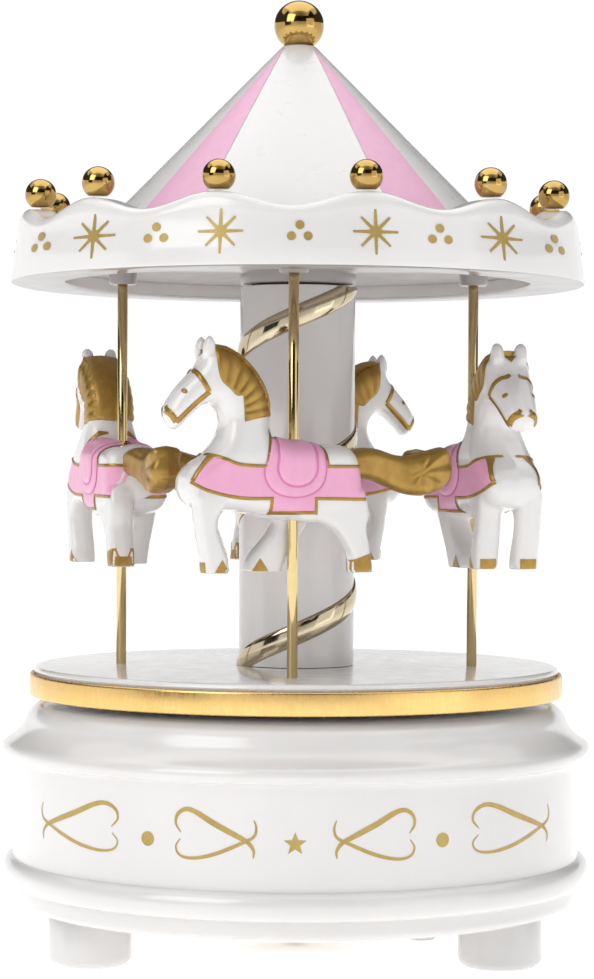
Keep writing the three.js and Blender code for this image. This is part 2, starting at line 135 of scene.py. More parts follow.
def plastic(name, colour, tint, roughness, coat=0.5):
    """Moulded glossy plastic: faint flow marks in the colour, and an orange-peel skin."""
    shader = Shader(name)
    flow = shader.noise(35, 4, 0.6, (1, 1, 0.4))
    skin = shader.noise(900, 2)
    shader.surface_values(
        Base_Color=shader.mix(shader.remap(flow, 0, 1), colour, tint),
        Roughness=shader.remap(shader.noise(260, 4), roughness - 0.04, roughness + 0.06),
        Coat_Weight=coat,
        Coat_Roughness=0.08,
        Subsurface_Weight=0.06,
        Subsurface_Radius=(0.002, 0.0015, 0.001),
        Subsurface_Scale=0.5,
    )
    shader.bump(skin, 0.12, 0.00004)
    return shader.material


def metal(name, colour, dark, roughness, grain=0.0):
    """Polished or brushed plated metal, duller where it has been handled."""
    shader = Shader(name)
    haze = shader.noise(120, 5, 0.6)
    fine = shader.noise(1500, 3, 0.5, (1, 1, 0.15))
    shader.surface_values(
        Base_Color=shader.mix(shader.remap(haze, 0, 0.6), colour, dark),
        Metallic=1.0,
        Roughness=shader.remap(fine, roughness, roughness + 0.1),
    )
    shader.bump(fine, 0.05 + grain, 0.00003)
    return shader.material


def paint(name, colour, dark, roughness, metallic=0.0):
    """Paint or print laid on plastic: brush marks in the colour, a slightly uneven film."""
    shader = Shader(name)
    marks = shader.noise(420, 4, 0.65, (1, 1, 0.5))
    shader.surface_values(
        Base_Color=shader.mix(shader.remap(marks, 0, 1), colour, dark),
        Metallic=metallic,
        Roughness=shader.remap(shader.noise(700, 3), roughness - 0.05, roughness + 0.1),
        Coat_Weight=0.25,
        Coat_Roughness=0.25,
    )
    shader.bump(marks, 0.2, 0.00004)
    return shader.material


def make_looks():
    return {
        "white": plastic("white_plastic", (0.79, 0.775, 0.765), (0.75, 0.735, 0.725), 0.2),
        # Painted shade: a dark grey for the canopy's underside, its floor and the pole sockets, which stands
        # in for the shadow under the canopy; the plastic there is as white as the rest.
        "ceiling_painted_shade": plastic("ceiling_painted_shade", (0.30, 0.275, 0.27), (0.27, 0.245, 0.24), 0.35),
        "roof_white": plastic("roof_white", (0.77, 0.755, 0.75), (0.73, 0.715, 0.71), 0.3),
        "roof_pink": paint("roof_pink", (0.78, 0.40, 0.58), (0.74, 0.36, 0.54), 0.35),
        "pink": paint("pink_paint", (0.84, 0.41, 0.60), (0.80, 0.37, 0.56), 0.36),
        "deep_pink": paint("deep_pink_paint", (0.73, 0.22, 0.47), (0.68, 0.19, 0.42), 0.4),
        "gold_paint": paint("gold_paint", (0.44, 0.27, 0.055), (0.33, 0.18, 0.03), 0.36, 0.6),
        "print": paint("gold_print", (0.52, 0.37, 0.11), (0.44, 0.30, 0.08), 0.4, 0.4),
        "gold": metal("polished_gold", (0.70, 0.54, 0.28), (0.58, 0.43, 0.20), 0.06),
        "ball_gold": metal("dark_polished_gold", (0.50, 0.33, 0.11), (0.40, 0.25, 0.07), 0.05),
        "band": metal("gold_band", (0.86, 0.58, 0.22), (0.72, 0.45, 0.15), 0.24),
        "champagne": metal("champagne_chrome", (0.60, 0.52, 0.37), (0.48, 0.40, 0.26), 0.06),
        "brass": metal("brass", (0.66, 0.47, 0.20), (0.52, 0.36, 0.14), 0.25, 0.2),
        "steel": metal("steel", (0.55, 0.56, 0.57), (0.42, 0.42, 0.43), 0.28, 0.2),
        "nylon": plastic("nylon", (0.80, 0.78, 0.72), (0.75, 0.72, 0.66), 0.45, 0.0),
    }


LOOKS = make_looks()


# ---------------------------------------------------------------- mesh helpers


def place(name, mesh, body, look, nodes=(), sharp=50):
    """Puts a mesh given in millimetres into the scene as a piece that rides on a body."""
    mesh.transform(((MM, 0, 0, 0), (0, MM, 0, 0), (0, 0, MM, 0), (0, 0, 0, 1)))
    mesh.materials.clear()
    mesh.materials.append(LOOKS[look])
    mesh.shade_smooth()
    mesh.set_sharp_from_angle(angle=math.radians(sharp))
    piece = bpy.data.objects.new(name, mesh)
    bpy.context.collection.objects.link(piece)
    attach(piece, body)
    if nodes:
        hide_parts(*nodes)
    return piece


def mesh_of(name, points, faces):
    mesh = bpy.data.meshes.new(name)
    mesh.from_pydata([tuple(p) for p in points], [], faces)
    solid = bmesh.new()
    solid.from_mesh(mesh)
    bmesh.ops.remove_doubles(solid, verts=solid.verts, dist=1e-5)
    bmesh.ops.recalc_face_normals(solid, faces=solid.faces)
    solid.to_mesh(mesh)
    solid.free()
    return mesh


def joined(name, parts):
    """One list of points and faces from several."""
    points, faces = [], []
    for more, their_faces in parts:
        start = len(points)
        points += list(more)
        faces += [[start + i for i in face] for face in their_faces]
    return mesh_of(name, points, faces)


def lathe(profile, segments=160, shift=None):
    """Points and faces of a profile (radius, height) turned about Z; it closes on itself off the axis."""
    closed = profile[0][0] > 0
    points, faces = [], []
    for i in range(segments):
        angle = TAU * i / segments
        for radius, height in profile:
            rise = shift(angle, height) if shift else 0
            points.append((radius * math.cos(angle), radius * math.sin(angle), height + rise))
    count = len(profile)
    for i in range(segments):
        j = (i + 1) % segments
        for k in range(count if closed else count - 1):
            m = (k + 1) % count
            faces.append([i * count + k, j * count + k, j * count + m, i * count + m])
    return points, faces


def moved(part, x=0.0, y=0.0, z=0.0, turn=0.0):
    points, faces = part
    c, s = math.cos(turn), math.sin(turn)
    return [(x + c * p[0] - s * p[1], y + s * p[0] + c * p[1], z + p[2]) for p in points], faces


def arc(radius, height, size, start, end, steps=8, stretch=1.0):
    """Profile points along an arc, angles in degrees; stretch scales it upwards."""
    angles = [math.radians(start + (end - start) * i / steps) for i in range(steps + 1)]
    return [(radius + size * math.cos(a), height + stretch * size * math.sin(a)) for a in angles]


def smooth_curve(points, spacing=0.4, closed=True, corner=40):
    """Points along a Catmull-Rom curve through the given ones; corners sharper than the angle stay sharp."""
    p = np.array(points, float)
    n = len(p)
    result = []
    for i in range(n if closed else n - 1):
        a, b = p[i], p[(i + 1) % n]
        before = p[i - 1] if closed or i else a
        after = p[(i + 2) % n] if closed or i + 2 < n else b
        start = (b - before) / 2 if bend(before, a, b) < corner else (b - a)
        end = (after - a) / 2 if bend(a, b, after) < corner else (b - a)
        steps = max(1, int(np.linalg.norm(b - a) / spacing))
        for k in range(steps):
            t = k / steps
            result.append(
                (2 * t**3 - 3 * t**2 + 1) * a
                + (t**3 - 2 * t**2 + t) * start
                + (3 * t**2 - 2 * t**3) * b
                + (t**3 - t**2) * end
            )
    return np.array(result if closed else result + [p[-1]])


def bend(a, b, c):
    """How much a path turns at b, in degrees."""
    u, v = b - a, c - b
    length = np.linalg.norm(u) * np.linalg.norm(v)
    return 180.0 if length < 1e-9 else math.degrees(math.acos(np.clip(u @ v / length, -1, 1)))


def distance_to(outline, points):
    """Distance of each point to a closed outline."""
    a = outline
    b = np.roll(outline, -1, axis=0)
    along = b - a
    share = ((points[:, None] - a) * along).sum(2) / np.maximum((along**2).sum(1), 1e-12)
    nearest = a + np.clip(share, 0, 1)[:, :, None] * along
    return np.linalg.norm(points[:, None] - nearest, axis=2).min(1)


def filled(outline, spacing=0.5):
    """Triangles that fill an outline: points, faces and each point's distance to the edge."""
    low, high = outline.min(0), outline.max(0)
    grid = np.stack(np.meshgrid(
        np.arange(low[0], high[0], spacing), np.arange(low[1], high[1], spacing)), -1).reshape(-1, 2)
    grid = grid[distance_to(outline, grid) > spacing * 0.45]
    inputs = [Vector(p) for p in [*outline, *grid]]
    border = [list(range(len(outline)))]
    flat, _, faces, *_ = delaunay_2d_cdt(inputs, [], border, 1, 1e-5)
    flat = np.array([tuple(p) for p in flat])
    return flat, [list(f) for f in faces], distance_to(outline, flat)


def stroke(path, width):
    """The outline of a line of the given width, or widths, along a path."""
    p = np.array(path, float)
    along = np.gradient(p, axis=0)
    along /= np.linalg.norm(along, axis=1)[:, None]
    side = np.stack([-along[:, 1], along[:, 0]], 1) * (np.broadcast_to(width, len(p)) / 2)[:, None]
    return np.vstack([p + side, (p - side)[::-1]])


# ---------------------------------------------------------------- geometry nodes: a ring of copies


def ring_tree():
    """Copies of the object's own mesh, turned about Z by equal steps."""
    tree = bpy.data.node_groups.new("ring_of_copies", "GeometryNodeTree")
    face = tree.interface
    face.new_socket("Copy", in_out="INPUT", socket_type="NodeSocketGeometry")
    face.new_socket("Count", in_out="INPUT", socket_type="NodeSocketInt")
    face.new_socket("First Angle", in_out="INPUT", socket_type="NodeSocketFloat")
    face.new_socket("Angle Step", in_out="INPUT", socket_type="NodeSocketFloat")
    face.new_socket("Look", in_out="INPUT", socket_type="NodeSocketMaterial")
    face.new_socket("Ring", in_out="OUTPUT", socket_type="NodeSocketGeometry")
    node = tree.nodes.new
    link = tree.links.new
    given, made = node("NodeGroupInput"), node("NodeGroupOutput")
    points, index = node("GeometryNodePoints"), node("GeometryNodeInputIndex")
    angle, vector = node("ShaderNodeMath"), node("ShaderNodeCombineXYZ")
    angle.operation = "MULTIPLY_ADD"
    turn, copies = node("FunctionNodeEulerToRotation"), node("GeometryNodeInstanceOnPoints")
    realize, finish = node("GeometryNodeRealizeInstances"), node("GeometryNodeSetMaterial")
    link(given.outputs["Count"], points.inputs["Count"])
    link(index.outputs["Index"], angle.inputs[0])
    link(given.outputs["Angle Step"], angle.inputs[1])
    link(given.outputs["First Angle"], angle.inputs[2])
    link(angle.outputs["Value"], vector.inputs["Z"])
    link(vector.outputs["Vector"], turn.inputs["Euler"])
    link(points.outputs["Points"], copies.inputs["Points"])
    link(given.outputs["Copy"], copies.inputs["Instance"])
    link(turn.outputs["Rotation"], copies.inputs["Rotation"])
    link(copies.outputs["Instances"], realize.inputs["Geometry"])
    link(realize.outputs["Geometry"], finish.inputs["Geometry"])
    link(given.outputs["Look"], finish.inputs["Material"])
    link(finish.outputs["Geometry"], made.inputs["Ring"])
    return tree


RING = ring_tree()
RING_SOCKETS = {item.name: item.identifier for item in RING.interface.items_tree if item.in_out == "INPUT"}


def ring(name, mesh, count, first, body, look, nodes=(), sharp=50):
    """A mesh in millimetres, copied round the Z axis and placed as one piece."""
    source = bpy.data.objects.new(name + "_copy", mesh)
    bpy.context.collection.objects.link(source)
    modifier = source.modifiers.new("ring", "NODES")
    modifier.node_group = RING
    values = {"Count": count, "First Angle": first, "Angle Step": TAU / count, "Look": LOOKS[look]}
    for key, value in values.items():
        modifier[RING_SOCKETS[key]] = value
    seen = source.evaluated_get(bpy.context.evaluated_depsgraph_get())
    whole = bpy.data.meshes.new_from_object(seen)
    bpy.data.objects.remove(source)
    return place(name, whole, body, look, nodes, sharp)


def numbered(name, count):
    return [f"{name}_{i + 1}" for i in range(count)]


# ---------------------------------------------------------------- base

BASE_INSIDE = [(5.2, 43.9), (5.2, 41.6), (44.2, 41.6), (47.0, 38.4), (48.0, 33.6), (48.0, 12.0), (47.7, 8.9)]


def make_base():
    edge = arc(48.8, 10.3, 1.6, -90, 0)
    bead = arc(WALL, 14.5, 1.95, -90, 90, 16, 2.4 / 1.95)
    moulding = smooth_curve(
        [(WALL, 33.0), (50.55, 33.8), (51.3, 34.4), (52.2, 34.7), (52.5, 35.7), (52.1, 36.8), (50.6, 37.9),
         (49.3, 39.1), (48.5, 40.3), (48.0, 41.5), (47.2, 42.6), (46.0, 43.5), (44.4, 43.9)],
        0.35, closed=False, corner=60)
    shell = mesh_of("base_shell_look", *lathe([*edge, *bead, *map(tuple, moulding), *BASE_INSIDE], 192))
    place("base_shell_look", shell, "base", "white", ["base_shell"], 35)
    cover = [(4, 8.9), (4.2, 8.7), (46.9, 8.7), (47.2, 9.0), (47.2, 11.2), (4, 11.2)]
    cover_mesh = mesh_of("bottom_cover_look", *lathe(cover, 160))
    place("bottom_cover_look", cover_mesh, "base", "white", ["bottom_cover"])
    foot = [(0, 0), (4.9, 0), *arc(5.3, 1.9, 1.9, -90, 0), (7.2, 8.0), (6.9, 8.4), (0, 8.4)]
    feet = mesh_of("feet", *moved(lathe(foot, 64), 40.7))
    ring("feet_look", feet, 3, math.radians(90), "base", "white", numbered("foot", 3))
    screw = [(0, 7.5), (1.2, 7.35), *arc(1.9, 7.8, 0.5, -90, 0, 5),
             (2.4, 8.4), (1, 8.4), (1, 19.2), (0, 19.4)]
    screws = mesh_of("cover_screws", *moved(lathe(screw, 32), 42))
    names = numbered("cover_screw", 3)
    ring("cover_screws_look", screws, 3, math.radians(60), "base", "steel", names)


def on_wall(flat, radius, height, lift=0.05):
    """Wraps flat points (along the wall, up) onto a wall of the given radius, facing azimuth 0."""
    angle = flat[:, 0] / radius
    out = radius + lift
    return np.stack([out * np.cos(angle), out * np.sin(angle), height + flat[:, 1]], 1)


def printed(outlines, radius, height, slope=0.0, spacing=0.8):
    """A film of print: outlines filled and wrapped on a wall, which leans in by slope per millimetre up."""
    parts = []
    for outline in outlines:
        flat, faces, _ = filled(np.array(outline, float), spacing)
        points = on_wall(flat, radius, height)
        points[:, :2] *= (1 - slope * flat[:, 1] / radius)[:, None]
        parts.append((points, faces))
    return parts


def disc(x, y, radius, sides=24):
    angles = [TAU * i / sides for i in range(sides)]
    return [(x + radius * math.cos(a), y + radius * math.sin(a)) for a in angles]


def star(points, outer, inner):
    sizes = [outer if i % 2 == 0 else inner for i in range(2 * points)]
    return [
        (size * math.sin(math.pi * i / points), size * math.cos(math.pi * i / points))
        for i, size in enumerate(sizes)
    ]


# One scroll, from the star towards the dot: two strokes that cross and close into an open heart.
UPPER_STROKE = [(6.8, -2.4), (6.7, -1.2), (7.6, 0.1), (9.4, 1.1), (13.2, 3.0), (16.4, 4.8), (18.2, 5.2),
                (19.6, 4.3), (19.9, 2.8), (19.0, 1.4)]
LOWER_STROKE = [(6.7, 3.8), (6.3, 2.6), (6.7, 1.1), (8.7, 0.0), (13.2, -1.9), (16.9, -2.7), (19.2, -2.3),
                (19.9, -0.9), (19.1, 0.4)]


OUTER_SCROLL_STRETCH = 1.5
OUTER_SCROLL_FROM = 61


def scroll(side, stretch=1.0, shift=0.0):
    strokes = []
    for points, thick in ((UPPER_STROKE, 0.95), (LOWER_STROKE, 0.62)):
        line = [(shift + side * stretch * x, y) for x, y in points]
        path = smooth_curve(line, 0.35, closed=False, corner=180)
        share = np.linspace(0, 1, len(path))
        width = 0.16 + (thick - 0.16) * np.sin(math.pi * share**0.85) ** 0.7
        strokes.append(stroke(path, width))
    return strokes


def make_base_print():
    """Front and back alike: a star between scrolls and dots, longer scrolls, and a star at the side."""
    outlines = [star(5, 1.95, 0.82), [(x + WALL * TAU / 4, y) for x, y in star(5, 1.95, 0.82)]]
    for side in (1, -1):
        outlines += [*scroll(side), disc(side * 25.1, 0, 1.2)]
        outlines += scroll(-side, OUTER_SCROLL_STRETCH, side * OUTER_SCROLL_FROM)
    motif = joined("base_print", printed(outlines, WALL, WALL_MIDDLE - 0.3))
    ring("base_print", motif, 2, math.radians(-90), "base", "print")


# ---------------------------------------------------------------- turntable, column, poles


def make_turntable():
    top = [(0, 45.3), (46.1, 45.3), (46.4, 45.6), (46.4, 49.3), (46.7, 49.3)]
    lip = arc(46.0, 49.4, 0.8, 5, 90, 8)
    disc_mesh = mesh_of("turntable_look", *lathe([*top, *lip, (0, PLATFORM_TOP)], 192))
    place("turntable_look", disc_mesh, "carousel", "white", ["turntable"], 35)
    face = [(46.75, 45.3), *arc(47.1, 45.4, 0.4, -90, 0, 4), *arc(47.1, 48.6, 0.4, 0, 90, 4), (46.75, 48.7)]
    band = mesh_of("rim_band_look", *lathe(face, 192))
    place("rim_band_look", band, "carousel", "band", ["rim_band"], 60)


def ribbon_mesh(low=PLATFORM_TOP + 0.05, high=117.6):
    """A convex ribbon wound as a right-handed helix, cut flat at the platform and the ceiling."""
    half, proud, across, steps = 2.1, 0.5, 12, 48
    section = [(COLUMN + 0.02 + proud * math.sqrt(max(0, 1 - (2 * k / across - 1) ** 2)),
                half * (2 * k / across - 1)) for k in range(across + 1)]
    section += [(COLUMN - 0.1, half), (COLUMN - 0.1, -half)]
    turns = np.arange(low - 4, high + 4, RIBBON_PITCH / steps)
    points, faces = [], []
    for height in turns:
        angle = -TAU / 4 + TAU * (height - RIBBON_FRONT) / RIBBON_PITCH
        points += [(r * math.cos(angle), r * math.sin(angle), height + v) for r, v in section]
    count = len(section)
    for i in range(len(turns) - 1):
        for k in range(count):
            m = (k + 1) % count
            faces.append([i * count + k, (i + 1) * count + k, (i + 1) * count + m, i * count + m])
    faces += [list(range(count)), [len(points) - 1 - k for k in range(count)]]
    mesh = mesh_of("column_ribbon_look", points, faces)
    solid = bmesh.new()
    solid.from_mesh(mesh)
    for height, way in ((low, -1), (high, 1)):
        everything = [*solid.verts, *solid.edges, *solid.faces]
        cut = bmesh.ops.bisect_plane(
            solid, geom=everything, plane_co=(0, 0, height), plane_no=(0, 0, way), clear_outer=True)
        rim = [item for item in cut["geom_cut"] if isinstance(item, bmesh.types.BMEdge)]
        bmesh.ops.holes_fill(solid, edges=rim)
    bmesh.ops.recalc_face_normals(solid, faces=solid.faces)
    solid.to_mesh(mesh)
    solid.free()
    return mesh


def make_column():
    profile = [(8.6, PLATFORM_TOP + 0.1), (COLUMN, PLATFORM_TOP + 0.1),
               (COLUMN, 117.5), (COLUMN - 0.2, 117.7),
               (8.6, 117.7)]
    column = mesh_of("column_look", *lathe(profile, 128))
    place("column_look", column, "carousel", "white", ["column"])
    place("column_ribbon_look", ribbon_mesh(), "carousel", "champagne", ["column_ribbon"])
    shaft = [(0, 47.6), (POLE - 0.1, 47.6), (POLE, 47.7), (POLE, 120.3), (POLE - 0.1, 120.4), (0, 120.4)]
    pole = mesh_of("poles", *moved(lathe(shaft, 40), POLE_RING))
    first = math.radians(-90) + CAROUSEL_TURN
    ring("poles_look", pole, HORSES, first, "carousel", "gold", numbered("pole", HORSES))


# ---------------------------------------------------------------- canopy and roof


def crown_wave(angle, height):
    """How far the rim's upper part is raised, highest under each ball."""
    share = max(0.0, (height - CROWN_START) / (CROWN_VALLEY - CROWN_START))
    return (CROWN_PEAK - CROWN_VALLEY) * share * (1 - math.cos(BALLS * (angle - CAROUSEL_TURN))) / 2


# How far down a face of the canopy rim must point to get the painted shade.
FACING_DOWN = -0.7


def make_canopy():
    wall = [(42.0, RIM_BOTTOM), (50.7, RIM_BOTTOM), (51.0, 118.15), (51.1, 118.5),
            (50.7, 121.5), (50.35, 124.2), (50.05, 125.6)]
    top = arc(48.3, 126.15, 1.75, 0, 90, 10) + arc(45.2, 126.15, 1.75, 90, 180, 10)
    inside = [(43.4, 125.0), (43.2, CROWN_START), (41.6, 122.9), (41.5, 118.4)]
    rim = mesh_of("canopy_rim_look", *lathe([*wall, *top, *inside], 288, crown_wave))
    piece = place("canopy_rim_look", rim, "carousel", "white", ["canopy_rim"], 40)
    # The rim's downward faces get the dark grey: painted shade under the canopy.
    piece.data.materials.append(LOOKS["ceiling_painted_shade"])
    for face in piece.data.polygons:
        face.material_index = int(face.normal.z < FACING_DOWN)
    floor = [(0, RIM_BOTTOM + 0.1), (10.0, RIM_BOTTOM + 0.1), (10.3, RIM_BOTTOM + 0.4), (10.3, 119.9),
             *arc(10.9, 119.9, 0.6, 180, 90, 5), (41.3, CEILING), (41.3, 122.4), (0, 122.4)]
    floor_mesh = mesh_of("canopy_floor_look", *lathe(floor, 160))
    # The ceiling gets the dark grey: painted shade under the canopy.
    place("canopy_floor_look", floor_mesh, "carousel", "ceiling_painted_shade", ["canopy_floor"])
    socket = [(0.95, 118.3), (1.2, RIM_BOTTOM + 0.1), (2.2, RIM_BOTTOM + 0.1),
              (2.5, 118.4), (2.5, 120.6), (0.95, 120.6)]
    sockets = mesh_of("pole_sockets", *moved(lathe(socket, 40), POLE_RING))
    first = math.radians(-90) + CAROUSEL_TURN
    # The pole sockets get the dark grey too: painted shade under the canopy.
    ring("pole_sockets", sockets, HORSES, first, "carousel", "ceiling_painted_shade")


# Where the rim's print stands, in degrees from the front, and how much wider it is drawn there.
# The pattern is printed twice, on the front and on the back half.
STARBURSTS = ((-42.2, 1.35), (-14.4, 1.03), (14.4, 1.03), (42.2, 1.35), (90, 1.35))
DOT_TRIPLETS = ((-60, 1.9), (-27.3, 1.12), (0.3, 1.0), (27.3, 1.12), (60, 1.9))
RIM_PRINT_RADIUS, RIM_PRINT_HEIGHT, RIM_PRINT_SLOPE = 50.46, 123.6, 0.12
RAYS, RAY_START, LONG_RAY, SHORT_RAY, RAY_WIDTHS = 8, 0.5, 3.7, 3.35, [0.62, 0.36]
TRIPLET_DOT = 0.73


def spread(outlines, places):
    """Outlines drawn at every place along the rim."""
    return [
        [(x * stretch + RIM_PRINT_RADIUS * math.radians(angle), y) for x, y in outline]
        for angle, stretch in places
        for outline in outlines
    ]


def make_canopy_print():
    burst = []
    for i in range(RAYS):
        across, up = math.cos(TAU * i / RAYS), math.sin(TAU * i / RAYS)
        reach = LONG_RAY if i % 2 == 0 else SHORT_RAY
        ends = [(RAY_START * across, RAY_START * up), (reach * across, reach * up)]
        burst.append(stroke(ends, RAY_WIDTHS))
    burst.append(disc(0, 0, 1.0))
    dots = [disc(x, y, TRIPLET_DOT) for x, y in ((0, 0.95), (-1.34, -0.85), (1.34, -0.85))]
    for name, outlines, places in (("starbursts", burst, STARBURSTS), ("dot_triplets", dots, DOT_TRIPLETS)):
        film = printed(spread(outlines, places), RIM_PRINT_RADIUS, RIM_PRINT_HEIGHT, RIM_PRINT_SLOPE)
        ring(name, joined(name, film), 2, math.radians(-90), "carousel", "print")


def ball(radius, height, cut):
    """A ball with a small flat seat below."""
    start = math.degrees(math.asin((cut - height) / radius))
    curve = arc(0, height, radius, start, 90, 28)
    curve[-1] = (0, height + radius)
    return [(0, cut), *curve]


CONE_TOP, CONE_NECK, CONE_FOOT, CONE_BOTTOM = 160.7, 3.0, 40.3, 122.9


def cone_height(radius):
    return CONE_TOP - (radius - CONE_NECK) * (CONE_TOP - CONE_BOTTOM) / (CONE_FOOT - CONE_NECK)


def stripe(middle, lean):
    """A pink panel of the roof, 22 degrees wide at the crown, narrower and leaning towards the neck."""
    points, faces = [], []
    rows, columns = 40, 12
    for i in range(rows + 1):
        radius = CONE_FOOT - 0.1 + (CONE_NECK + 0.25 - CONE_FOOT) * i / rows
        narrowing = 30.8 / radius - 1
        half = max(0.8, 10.9 - 1.2 * narrowing)
        centre = middle + lean * 1.38 * narrowing
        for k in range(columns + 1):
            angle = math.radians(centre + half * (2 * k / columns - 1) - 90) + CAROUSEL_TURN
            out = radius + 0.05
            points.append((out * math.cos(angle), out * math.sin(angle), cone_height(radius) + 0.05))
    for i in range(rows):
        for k in range(columns):
            a = i * (columns + 1) + k
            faces.append([a, a + 1, a + columns + 2, a + columns + 1])
    return points, faces


# The middle of each pink panel, in degrees from the front, and the way it leans.
ROOF_STRIPES = ((39.3, 1), (-39.3, -1), (109.7, 0), (-109.7, 0), (180, 0))


def make_roof():
    cone = [(0, CONE_TOP - 3), (CONE_FOOT - 1.6, CONE_BOTTOM), (CONE_FOOT, CONE_BOTTOM),
            (CONE_NECK + 0.1, CONE_TOP - 0.1), (CONE_NECK - 0.2, CONE_TOP + 0.1), (0, CONE_TOP + 0.1)]
    cone_mesh = mesh_of("roof_cone_look", *lathe(cone, 192))
    place("roof_cone_look", cone_mesh, "carousel", "roof_white", ["roof_cone"])
    panels = [stripe(middle, lean) for middle, lean in ROOF_STRIPES]
    place("roof_stripes", joined("roof_stripes", panels), "carousel", "roof_pink")
    balls = mesh_of("roof_balls", *moved(lathe(ball(2.75, 133.0, 130.8), 56), BALL_RING))
    first = math.radians(-90 + 15) + CAROUSEL_TURN
    names = numbered("roof_ball", BALLS)
    ring("roof_balls_look", balls, BALLS, first, "carousel", "ball_gold", names)
    finial = mesh_of("finial_ball_look", *lathe(ball(4.45, 164.55, 160.9), 72))
    place("finial_ball_look", finial, "carousel", "ball_gold", ["finial_ball"])


# ---------------------------------------------------------------- horses: forwards and up from the pole

HORSE_OUTLINE = [
    (14.4, 105.4), (16.4, 104.4), (17.5, 102.2), (19.4, 100.2), (21.3, 98.0), (22.8, 95.4), (22.8, 93.6),
    (21.6, 91.9), (20.6, 91.7), (19.2, 93.2), (16.4, 95.6), (14.7, 95.9), (13.5, 94.6), (13.0, 92.8),
    (13.5, 90.8),
    (14.8, 88.9), (16.6, 87.3), (18.6, 85.9), (19.9, 84.2), (20.2, 82.0), (19.4, 80.0), (17.6, 78.6),
    (13.2, 78.2),
    (10.0, 77.9), (5.1, 77.0), (0.5, 76.5), (-4.5, 76.4), (-9.5, 77.6), (-11.2, 80.3), (-11.2, 84.0),
    (-10.6, 87.2),
    (-9.3, 88.9), (-7.0, 89.5), (-3.0, 89.4), (1.5, 89.5), (4.0, 90.2), (4.9, 91.9), (5.0, 94.2), (5.3, 96.6),
    (6.1, 98.8), (7.5, 101.0), (9.0, 102.7), (10.8, 104.1), (12.6, 105.1),
]
EAR = [(14.0, 104.3), (14.6, 106.2), (15.5, 107.4), (16.3, 106.6), (16.8, 104.4), (16.0, 103.2)]
FRONT_LEG = [(19.3, 82.0), (18.7, 78.5), (18.3, 75.5), (17.9, 73.0), (17.4, 70.2), (17.0, 66.0), (12.4, 66.0),
             (12.9, 70.3), (13.9, 73.2), (14.7, 75.6), (14.2, 77.6), (11.5, 80.5)]
HIND_LEG = [(3.0, 79.5), (0.5, 76.7), (-3.0, 76.3), (-5.9, 74.8), (-7.8, 72.2), (-8.6, 70.0), (-8.6, 66.0),
            (-13.1, 66.0), (-12.5, 71.0), (-11.8, 75.0), (-12.1, 78.6), (-11.2, 82.5)]
FAR_HIND_LEG = [(2.6, 79.5), (2.6, 76.4), (4.4, 73.6), (6.6, 71.2), (7.6, 69.3), (7.8, 66.0), (1.6, 66.0),
                (0.2, 70.0), (-1.6, 73.0), (-4.0, 76.8), (-6.0, 80.0)]
TAIL = [(-8.4, 88.2), (-12.0, 88.9), (-15.0, 88.7), (-18.4, 87.7), (-21.0, 87.7), (-24.0, 88.5),
        (-26.8, 89.1),
        (-28.0, 88.2), (-28.3, 86.4), (-28.4, 84.6), (-27.9, 83.0), (-26.4, 81.8), (-24.0, 80.9),
        (-22.0, 80.8),
        (-19.5, 81.2), (-16.5, 82.3), (-13.5, 83.4), (-8.4, 83.8)]
HALF_THICK = 5.65
LEG_HALF = 2.2
HOOF = 67.95
HORSE_GRAIN, HORSE_SMOOTHING = 0.38, 4
FRONT_LEG_STEP = 2.4

MANE = [(14.9, 105.8), (12.8, 105.4), (10.7, 104.2), (8.9, 102.8), (7.4, 101.1), (6.0, 98.9), (5.2, 96.6),
        (5.0, 94.0), (7.5, 93.6), (10.0, 93.0), (10.1, 95.2), (10.3, 97.4), (11.4, 97.3), (12.4, 98.3),
        (13.9, 99.6), (14.5, 101.0), (14.8, 103.4)]
CREST = [(15.6, 106.0), (12.7, 105.8), (10.4, 104.7), (8.5, 103.2), (6.9, 101.4), (5.5, 99.1), (4.7, 96.7),
         (4.5, 93.8),
         (6.4, 93.6), (6.7, 96.3), (7.4, 98.4), (8.7, 100.5), (10.1, 102.2), (11.8, 103.6), (13.4, 104.3),
         (15.4, 104.7)]
MANE_FAN = (14.0, 93.6)  # where the mane's locks meet
BLANKET = [(15.5, 87.5), (13.6, 86.9), (11.4, 86.0), (8.7, 85.7), (6.2, 85.7), (-4.0, 85.7), (-11.0, 85.7),
           (-11.0, 80.3), (-2.1, 80.4), (-2.1, 78.0), (5.7, 78.0), (5.7, 80.4), (8.7, 80.4), (11.4, 80.5),
           (14.3, 81.0), (17.1, 81.8), (18.4, 82.6), (19.1, 83.1), (18.3, 84.7), (17.1, 86.1)]
SADDLE = [(5.51, 90.3), (6.23, 87.4), (6.94, 84.8), (6.43, 82.8), (4.7, 81.2), (1.63, 80.6), (-1.33, 81.2),
          (-3.16, 82.8),
          (-3.78, 85.0), (-3.67, 87.4), (-3.57, 89.8)]
SEAT = [(4.49, 90.3), (4.59, 87.0), (4.7, 84.9), (3.67, 83.1), (1.53, 82.4), (-0.71, 83.0), (-1.94, 84.7),
        (-2.04, 87.0),
        (-1.94, 89.8)]
CHEEK_STRAP = [(18.2, 102.0), (17.6, 100.6), (16.1, 97.9)]
JAW_STRAP = [(16.0, 97.9), (18.6, 95.6), (21.3, 92.9)]
NOSE_STRAP = [(21.2, 92.9), (22.2, 94.3), (23.1, 95.6)]
